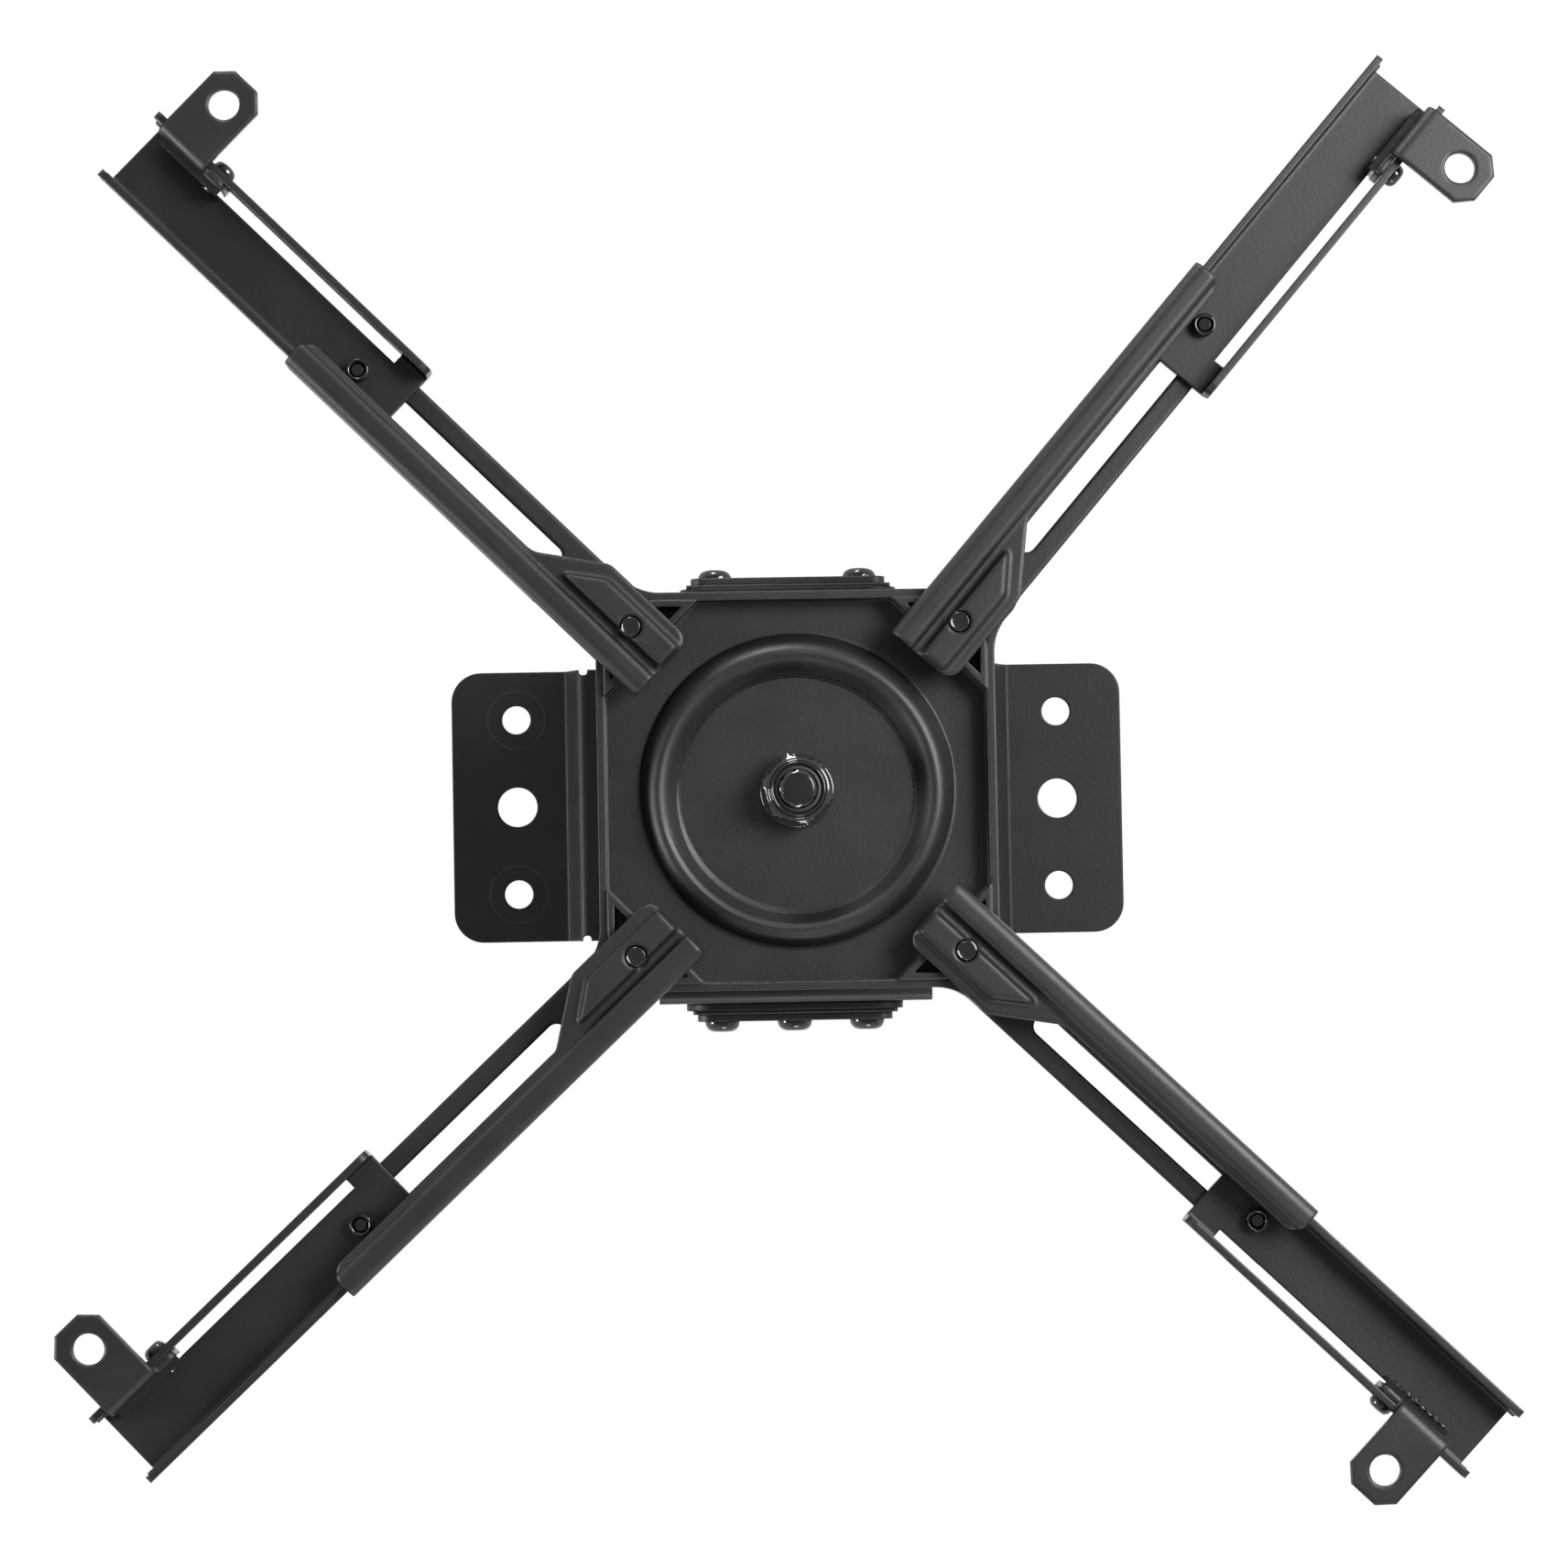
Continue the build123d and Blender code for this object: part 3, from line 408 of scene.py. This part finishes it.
class Solid:
    """Points and faces, in millimetres, that make one piece."""

    def __init__(self):
        self.points = []
        self.faces = []

    def band(self, low, high):
        """Faces between two outlines, given by the numbers of their first points."""
        for step in range(SEGMENTS):
            after = (step + 1) % SEGMENTS
            self.faces.append((low + step, low + after, high + after, high + step))

    def skin(self, stations, place):
        """The sides through all stations. Returns where the end outlines start."""
        first = len(self.points)
        for outline, height in stations:
            for step in range(SEGMENTS):
                angle = 2 * math.pi * step / SEGMENTS
                radius = outline(angle)
                self.points.append(place @ Vector((radius * math.cos(angle),
                                                   radius * math.sin(angle), height)))
        last = len(self.points) - SEGMENTS
        for low in range(first, last, SEGMENTS):
            self.band(low, low + SEGMENTS)
        return first, last

    def lathe(self, stations, place):
        """A solid through all stations, closed at both ends."""
        first, last = self.skin(stations, place)
        self.faces.append(tuple(range(first, first + SEGMENTS))[::-1])
        self.faces.append(tuple(range(last, last + SEGMENTS)))

    def tube(self, stations, place):
        """A ring through all stations, the last joined back to the first."""
        first, last = self.skin(stations, place)
        self.band(last, first)

    def piece(self, name, material, slot, body, *nodes):
        """The finished piece, riding on a body and standing for its nodes."""
        mesh = bpy.data.meshes.new(name)
        mesh.from_pydata([point * MM for point in self.points], [], self.faces)
        work = bmesh.new()
        work.from_mesh(mesh)
        bmesh.ops.recalc_face_normals(work, faces=work.faces)
        work.to_mesh(mesh)
        work.free()
        mesh.shade_smooth()
        mesh.set_sharp_from_angle(angle=math.radians(SHARP_ANGLE))
        mesh.materials.append(material)
        piece = bpy.data.objects.new(name, mesh)
        bpy.context.scene.collection.objects.link(piece)
        if nodes:
            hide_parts(*nodes)
        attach(piece, body)


# Placements, in millimetres

def pointing(place, direction, turn=0.0):
    """A placement whose +Z points along a direction."""
    aimed = Vector(direction).to_track_quat("Z", "Y").to_matrix().to_4x4()
    return Matrix.Translation(Vector(place)) @ aimed @ Matrix.Rotation(turn, 4, "Z")


def joint_place(pivot, along=(1.0, 0.0, 0.0)):
    """The placement of a joint: its axis is +Z and the along direction is +X."""
    up = Vector(pivot["axis"]).normalized()
    out = Vector(along)
    out = (out - up * out.dot(up)).normalized()
    turn = Matrix((out, up.cross(out), up)).transposed().to_4x4()
    return Matrix.Translation(Vector(pivot["pos_m"]) / MM) @ turn


# Fasteners

def pan_screw(solid, size, grip, place):
    """A pan-head screw: the head stands on height 0 and the threaded shank runs down."""
    head = size["head"]
    rise = size["rise"]
    shank = size["radius"] - SEAT_GAP
    tip = size["pitch"] * TIP_TAPER
    start = tip - grip
    stations = [(circle(shank - tip), -grip)]
    stations += threaded(size, start, start + THREAD_RUN)
    stations += turned([(shank, start + THREAD_RUN + THREAD_FADE), (shank, SEAT_GAP),
                        (head - HEAD_EDGE, SEAT_GAP), (head, HEAD_EDGE)])
    top = math.radians(DOME_ANGLE)
    for step in range(1, DOME_STEPS + 1):
        angle = top * step / DOME_STEPS
        height = (rise - HEAD_EDGE) * math.sin(angle) / math.sin(top)
        stations.append((circle(head * math.cos(angle) ** DOME_POWER), HEAD_EDGE + height))
    for (length, half_width), height in ((RECESS_TOP, rise), (RECESS_FLOOR, rise * RECESS_LEVEL)):
        stations.append((cross(head * length, head * half_width), height))
    solid.lathe(stations, place)


def roll_screw(solid, x, side):
    """A screw of the roll joint at one side."""
    pan_screw(solid, M5, ROLL_GRIP,
              pointing((x, side * CLAMP_FACE, ROLL_Z), (0, side, 0), ROLL_TURN + x))


def pitch_screw(solid, y, side):
    """A screw of the pitch joint at one side."""
    pan_screw(solid, M5, PITCH_GRIP,
              pointing((side * CHEEK_FACE, y, PITCH_Z), (side, 0, 0), PITCH_TURN + y))


def head_screws(finish):
    """All screws of the roll and pitch joints."""
    locks = [(offset, side) for side in (-1, 1) for offset in (-LOCK_RADIUS, LOCK_RADIUS)]
    for name, body, maker, places in (
            ("roll_lock_screws", "ceiling_unit", roll_screw, locks),
            ("roll_pivot_screw", "ceiling_unit", roll_screw, [(0, 1)]),
            ("pitch_lock_screws", "gimbal", pitch_screw, locks),
            ("pitch_pivot_screws", "gimbal", pitch_screw, [(0, -1), (0, 1)])):
        solid = Solid()
        for place in places:
            maker(solid, *place)
        solid.piece(f"looks_{name}", finish, "black_fastener", body, name)


def centre_bolt(finish, centre):
    """The centre bolt, with its thread and its hexagon head."""
    stations = turned(BOLT_TIP) + threaded(BOLT, *BOLT_THREAD) + turned(BOLT_NECK)
    stations += six_sided(BOLT_FLATS) + turned(BOLT_TOP)
    bolt = Solid()
    bolt.lathe(stations, centre)
    bolt.piece("looks_centre_bolt", finish, "black_fastener", "yoke_unit", "centre_bolt")


def centre_rings(finish, insert_finish, centre):
    """The lock nut with its crimped collar, the washer and the nylon insert."""
    nut = Solid()
    nut.tube(turned(NUT_LIP) + six_sided(NUT_FLATS, NUT_TURN) + turned(NUT_BORE), centre)
    nut.piece("looks_centre_lock_nut", finish, "black_fastener", "yoke_unit", "centre_lock_nut")
    washer = Solid()
    washer.tube(turned(WASHER), centre)
    washer.piece("looks_centre_washer", finish, "black_fastener", "yoke_unit", "centre_washer")
    insert = Solid()
    insert.tube(turned(INSERT), centre)
    insert.piece("looks_nut_insert", insert_finish, "nylon", "yoke_unit")


def pivot_pin(number, finish, place):
    """A headed pivot pin with a raised ring round its end."""
    solid = Solid()
    solid.lathe(turned(PIN_TIP, PIN_END) + turned(PIN_HEAD, SHEET), place)
    solid.piece(f"looks_pivot_pin_{number}", finish, "black_fastener", "spider",
                f"pivot_pin_{number}")


def slide_parts(number, finish, place):
    """The screw and round press nut that lock an outer arm."""
    u = SLIDE_SCREW_U + ARM_EXTENSION[number]
    screw = Solid()
    pan_screw(screw, M4, SLIDE_GRIP, place @ Matrix.Translation((u, 0, SHEET)))
    screw.piece(f"looks_slide_screw_{number}", finish, "black_fastener", f"outer_arm_{number}",
                f"slide_screw_{number}")
    nut = Solid()
    nut.tube(turned(PRESS_NUT), place @ Matrix.Translation((u, 0, 0)))
    nut.piece(f"looks_slide_nut_{number}", finish, "black_fastener", f"outer_arm_{number}",
              f"slide_nut_{number}")


def lug_screw(number, finish, place):
    """The screw that locks a lug bracket."""
    u, v, height = LUG_SCREW
    u += ARM_EXTENSION[number] + LUG_OFFSET[number]
    solid = Solid()
    pan_screw(solid, LUG_HEAD, LUG_GRIP,
              place @ pointing((u, v, height), (0, 1, 0), LUG_TURN * int(number)))
    solid.piece(f"looks_lug_screw_{number}", finish, "black_fastener", f"lug_{number}",
                f"lug_screw_{number}")


def weld(number, finish, place):
    """The rough bead along the nut plate of one lug bracket, which thins towards its end."""
    shift = ARM_EXTENSION[number] + LUG_OFFSET[number]
    length = WELD_U[1] - WELD_U[0]
    stations = []
    for step in range(WELD_STEPS + 1):
        share = step / WELD_STEPS
        height = length * share
        round_ends = math.sin(math.pi * (0.04 + 0.92 * share)) ** 0.4
        taper = 1.1 - 0.35 * share
        stations.append((lumps(WELD_SIZE * round_ends * taper, height), height))
    bead = Solid()
    bead.lathe(stations, place @ pointing((WELD_U[0] + shift, WELD_V, WELD_HEIGHT), (1, 0, 0)))
    bead.piece(f"looks_weld_{number}", finish, "black_fastener", f"lug_{number}")


def soft_bead(finish):
    """The smooth rounded ridge of the spider plate's pressed ring, over the frame's facets."""
    lip = [(BEAD_INNER + offset, height) for offset, height in BEAD_LIP]
    front = []
    back = []
    for step in range(BEAD_STEPS + 1):
        share = step / BEAD_STEPS
        radius = BEAD_INNER + (BEAD_OUTER - BEAD_INNER) * share
        wave = max(math.sin(math.pi * share), 0.0)
        front.append((radius, BEAD_SINK - (BEAD_RISE + BEAD_PROUD) * wave ** BEAD_ROUNDNESS))
        back.append((radius, BEAD_BACK - BEAD_RISE * wave ** 2))
    ring = Solid()
    ring.tube(turned(lip + front + back[::-1], PLATE_FRONT), Matrix.Identity(4))
    ring.piece("looks_plate_ring", finish, "black_powder_coat", "spider")


def make_fasteners(finishes):
    """Detailed fasteners in place of the frame's plain ones, and the plate's smooth ring."""
    metal = finishes["black_fastener"]
    joints = {joint["name"]: joint for joint in frame["record"]["behaviour"]["joints"]}
    head_screws(metal)
    soft_bead(finishes["soft_coat"])
    centre = joint_place(joints["swivel"])
    centre_bolt(metal, centre)
    centre_rings(metal, finishes["nylon"], centre)
    for number in ARM_EXTENSION:
        place = joint_place(joints[f"arm_pivot_{number}"], joints[f"arm_slide_{number}"]["axis"])
        pivot_pin(number, metal, place)
        slide_parts(number, metal, place)
        lug_screw(number, metal, place)
        if number == WELDED:
            weld(number, metal, place)


# Studio

def seen_rays(nodes):
    """1 for rays from the camera, from reflections and through glass, else 0."""
    path = nodes.add("ShaderNodeLightPath").outputs
    direct = nodes.calc("MAXIMUM", path["Is Camera Ray"], path["Is Transmission Ray"])
    return nodes.calc("MAXIMUM", direct, path["Is Glossy Ray"])


def make_world():
    """White to the camera, to reflections and through glass, and a dim even light."""
    world = bpy.data.worlds.new("studio")
    bpy.context.scene.world = world
    world.use_nodes = True
    nodes = Nodes(world.node_tree)
    shown = nodes.add("ShaderNodeBackground", {"Color": WHITE, "Strength": 1.0})
    light = nodes.add("ShaderNodeBackground", {"Color": WHITE, "Strength": WORLD_LIGHT})
    mix = nodes.add("ShaderNodeMixShader", {
        "Fac": seen_rays(nodes), 1: light.outputs["Background"],
        2: shown.outputs["Background"]})
    nodes.add("ShaderNodeOutputWorld", {"Surface": mix.outputs["Shader"]})


def floor_material(z):
    """A pale matt grey that fades to white far from the middle of the floor."""
    material, nodes = new_material("floor")
    place = nodes.place()
    cloud = nodes.noise(place, scale=3.0, detail=2.0)
    low, high = FLOOR_GREYS
    shader = nodes.add("ShaderNodeBsdfPrincipled", {
        "Base Color": nodes.blend(cloud, grey(low), grey(high)), "Roughness": 0.9})
    gap = nodes.add("ShaderNodeVectorMath", {0: place, 1: (0.0, 0.0, z)}, operation="DISTANCE")
    fade = nodes.add("ShaderNodeMapRange", {
        "Value": gap.outputs["Value"], "From Min": FLOOR_NEAR[0], "From Max": FLOOR_FAR[0],
        "To Min": FLOOR_NEAR[1], "To Max": FLOOR_FAR[1]}, interpolation_type="SMOOTHSTEP")
    glow = nodes.calc("MULTIPLY", fade.outputs["Result"], seen_rays(nodes))
    pale = nodes.add("ShaderNodeEmission", {"Color": WHITE, "Strength": glow})
    both = nodes.add("ShaderNodeAddShader", {
        0: shader.outputs["BSDF"], 1: pale.outputs["Emission"]})
    nodes.add("ShaderNodeOutputMaterial", {"Surface": both.outputs["Shader"]})
    return material


def make_floor():
    """A flat floor below the photograph's camera."""
    half = FLOOR_SIZE / 2
    z = -FLOOR_DROP * MM
    mesh = bpy.data.meshes.new("floor")
    mesh.from_pydata([(-half, -half, z), (half, -half, z), (half, half, z), (-half, half, z)],
                     [], [(0, 1, 2, 3)])
    mesh.materials.append(floor_material(z))
    floor = bpy.data.objects.new("floor", mesh)
    bpy.context.scene.collection.objects.link(floor)


def area_light(name, place, size, watts):
    """A rectangular softbox at a place in millimetres, facing the mount."""
    data = bpy.data.lights.new(name, "AREA")
    data.shape = "RECTANGLE"
    data.size = size[0] * MM
    data.size_y = size[1] * MM
    data.energy = watts
    lamp = bpy.data.objects.new(name, data)
    lamp.location = Vector(place) * MM
    lamp.rotation_mode = "QUATERNION"
    lamp.rotation_quaternion = (Vector(LAMP_AIM) - Vector(place)).to_track_quat("-Z", "Y")
    bpy.context.scene.collection.objects.link(lamp)


def make_lights():
    """A main softbox at the photograph's right, small ones round about and one above."""
    for lamp in LAMPS:
        area_light(*lamp)


def make_camera():
    """The photograph's view: from below, with +X to the right and +Y down."""
    data = bpy.data.cameras.new("camera")
    data.sensor_width = SENSOR
    data.lens = FOCAL_PX / IMAGE_PX * SENSOR
    data.clip_start, data.clip_end = CLIP
    camera = bpy.data.objects.new("camera", data)
    place = Vector(CAMERA) * MM
    back = (place - Vector(AIM) * MM).normalized()
    right = Vector((0, -1, 0)).cross(back).normalized()
    up = back.cross(right)
    turn = Matrix((right, up, back)).transposed().to_4x4()
    roll = Matrix.Rotation(math.radians(CAMERA_ROLL), 4, "Z")
    camera.matrix_world = Matrix.Translation(place) @ turn @ roll
    bpy.context.scene.collection.objects.link(camera)
    bpy.context.scene.camera = camera


make_fasteners(dress_nodes())
make_world()
make_floor()
make_lights()
make_camera()
bpy.context.scene.view_settings.view_transform = "Standard"
